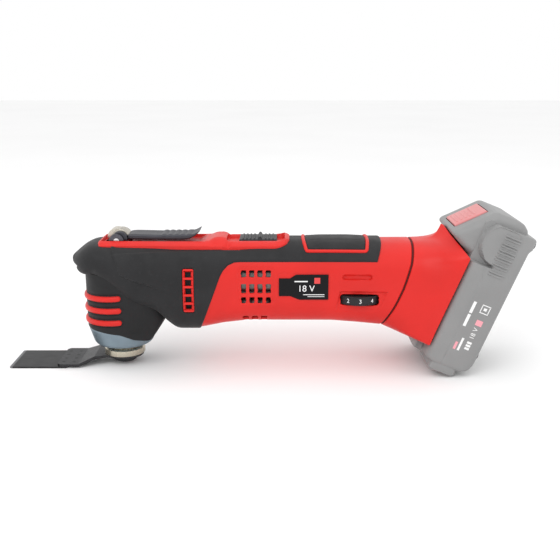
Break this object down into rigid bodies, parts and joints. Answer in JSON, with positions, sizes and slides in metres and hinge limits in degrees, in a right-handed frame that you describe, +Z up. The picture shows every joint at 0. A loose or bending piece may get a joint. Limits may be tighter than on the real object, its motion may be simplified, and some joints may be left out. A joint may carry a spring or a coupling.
{
  "type": "cordless oscillating multi-tool",
  "caption": "Cordless oscillating multi-tool with a plunge-cut saw blade, quick-release lever, slide switch, thumb-wheel speed dial and tilted slide-on battery pack.",
  "frame": {"origin": "centre of the footprint on the table that the tool stands on", "axes": "+Z up, +X from the blade towards the battery pack, -Y towards the side that carries the speed dial"},
  "size_m": [0.3652, 0.072, 0.114],
  "materials": {
    "blade_steel": "dark blued",
    "holder_steel": "dark blued, bare at the bend",
    "machined_steel": "machined",
    "bearing_steel": "ground",
    "cast_alloy": "die cast, bead blasted",
    "red_plastic": "satin moulded",
    "black_plastic": "fine texture",
    "soft_grip": "soft-touch overmould",
    "lever_alloy": "dark painted",
    "pack_plastic": "fine texture",
    "latch_plastic": "satin moulded",
    "cell_sleeve": "sleeved",
    "circuit_board": "lacquered",
    "contact_brass": "plated",
    "commutator_copper": "machined",
    "magnet": "ferrite",
    "lead_wire": "insulated"
  },
  "bodies": {
    "tool_body": {"gear_collar": "cast_alloy", "gearbox_casting": "cast_alloy", "lower_spindle_bearing": "bearing_steel", "upper_spindle_bearing": "bearing_steel", "spindle_seal": "black_plastic", "gearbox_boot": "soft_grip", "nose_ribs": "red_plastic", "front_shell_left": "soft_grip", "front_shell_right": "soft_grip", "housing_left": "red_plastic", "housing_right": "red_plastic", "grip_band": "soft_grip", "pad_trim": "red_plastic", "grip_pad": "soft_grip", "top_cover": "red_plastic", "side_vent_left": "red_plastic", "side_vent_right": "red_plastic", "name_plate_left": "black_plastic", "name_plate_right": "black_plastic", "lever_pin": "machined_steel", "power_switch": "black_plastic", "speed_board": "circuit_board", "motor_controller": "black_plastic", "motor_can": "machined_steel", "motor_end_cap": "black_plastic", "motor_magnets": "magnet", "motor_brushes": "magnet", "front_motor_bearing": "bearing_steel", "battery_dock": "red_plastic", "dock_plate": "red_plastic", "terminal_block": "black_plastic", "terminal_blades": "contact_brass", "housing_screws": "machined_steel", "motor_leads": "lead_wire"},
    "spindle": {"spindle": "machined_steel", "rocker_fork": "machined_steel", "clamp_spring": "machined_steel"},
    "draw_bar": {"draw_bar": "machined_steel", "grip_jaws": "machined_steel"},
    "accessory": {"clamp_bolt": "machined_steel", "blade_holder": "holder_steel", "saw_plate": "blade_steel"},
    "lever": {"release_lever": "lever_alloy", "lever_cam": "machined_steel"},
    "rotor": {"motor_shaft": "bearing_steel", "armature": "machined_steel", "commutator": "commutator_copper", "cooling_fan": "black_plastic", "eccentric_bearing": "bearing_steel"},
    "switch": {"switch_slider": "black_plastic", "switch_rod": "black_plastic"},
    "dial": {"speed_dial": "black_plastic"},
    "battery": {"pack_upper_case": "pack_plastic", "pack_lower_case": "pack_plastic", "pack_rails": "pack_plastic", "pack_cells": "cell_sleeve", "pack_board": "circuit_board", "pack_screws": "machined_steel", "latch_spring": "machined_steel"},
    "latch": {"pack_latch": "latch_plastic"}
  },
  "joints": [
    {"name": "spindle_oscillation", "type": "hinge", "parent": "tool_body", "child": "spindle", "pos_m": [-0.1026, 0, 0.0623], "axis": [0, 0, 1], "range_deg": [-1.6, 1.6]},
    {"name": "lever_pivot", "type": "hinge", "parent": "tool_body", "child": "lever", "pos_m": [-0.1026, 0, 0.0916], "axis": [0, -1, 0], "range_deg": [0, 100]},
    {"name": "draw_bar_slide", "type": "slide", "parent": "spindle", "child": "draw_bar", "axis": [0, 0, -1], "range_m": [0, 0.0031], "deforming": ["clamp_spring"]},
    {"name": "accessory_removal", "type": "slide", "parent": "spindle", "child": "accessory", "axis": [0, 0, -1], "range_m": [0, 0.04]},
    {"name": "rotor_spin", "type": "hinge", "parent": "tool_body", "child": "rotor", "pos_m": [-0.0526, 0, 0.0623], "axis": [1, 0, 0], "continuous": true},
    {"name": "switch_slide", "type": "slide", "parent": "tool_body", "child": "switch", "axis": [-1, 0, 0], "range_m": [0, 0.007]},
    {"name": "dial_turn", "type": "hinge", "parent": "tool_body", "child": "dial", "pos_m": [0.0654, -0.013, 0.053], "axis": [0, 0, 1], "range_deg": [0, 270]},
    {"name": "battery_slide", "type": "slide", "parent": "tool_body", "child": "battery", "axis": [0.3746, 0, 0.9272], "range_m": [0, 0.085]},
    {"name": "latch_press", "type": "slide", "parent": "battery", "child": "latch", "axis": [0.4195, 0, -0.9078], "range_m": [0, 0.002], "stiffness_N_per_m": 400, "springref_m": -0.001, "deforming": ["latch_spring"]}
  ],
  "couplings": [
    {"joint": "draw_bar_slide", "follows": "lever_pivot", "m_per_rad": 0.001775}
  ]
}
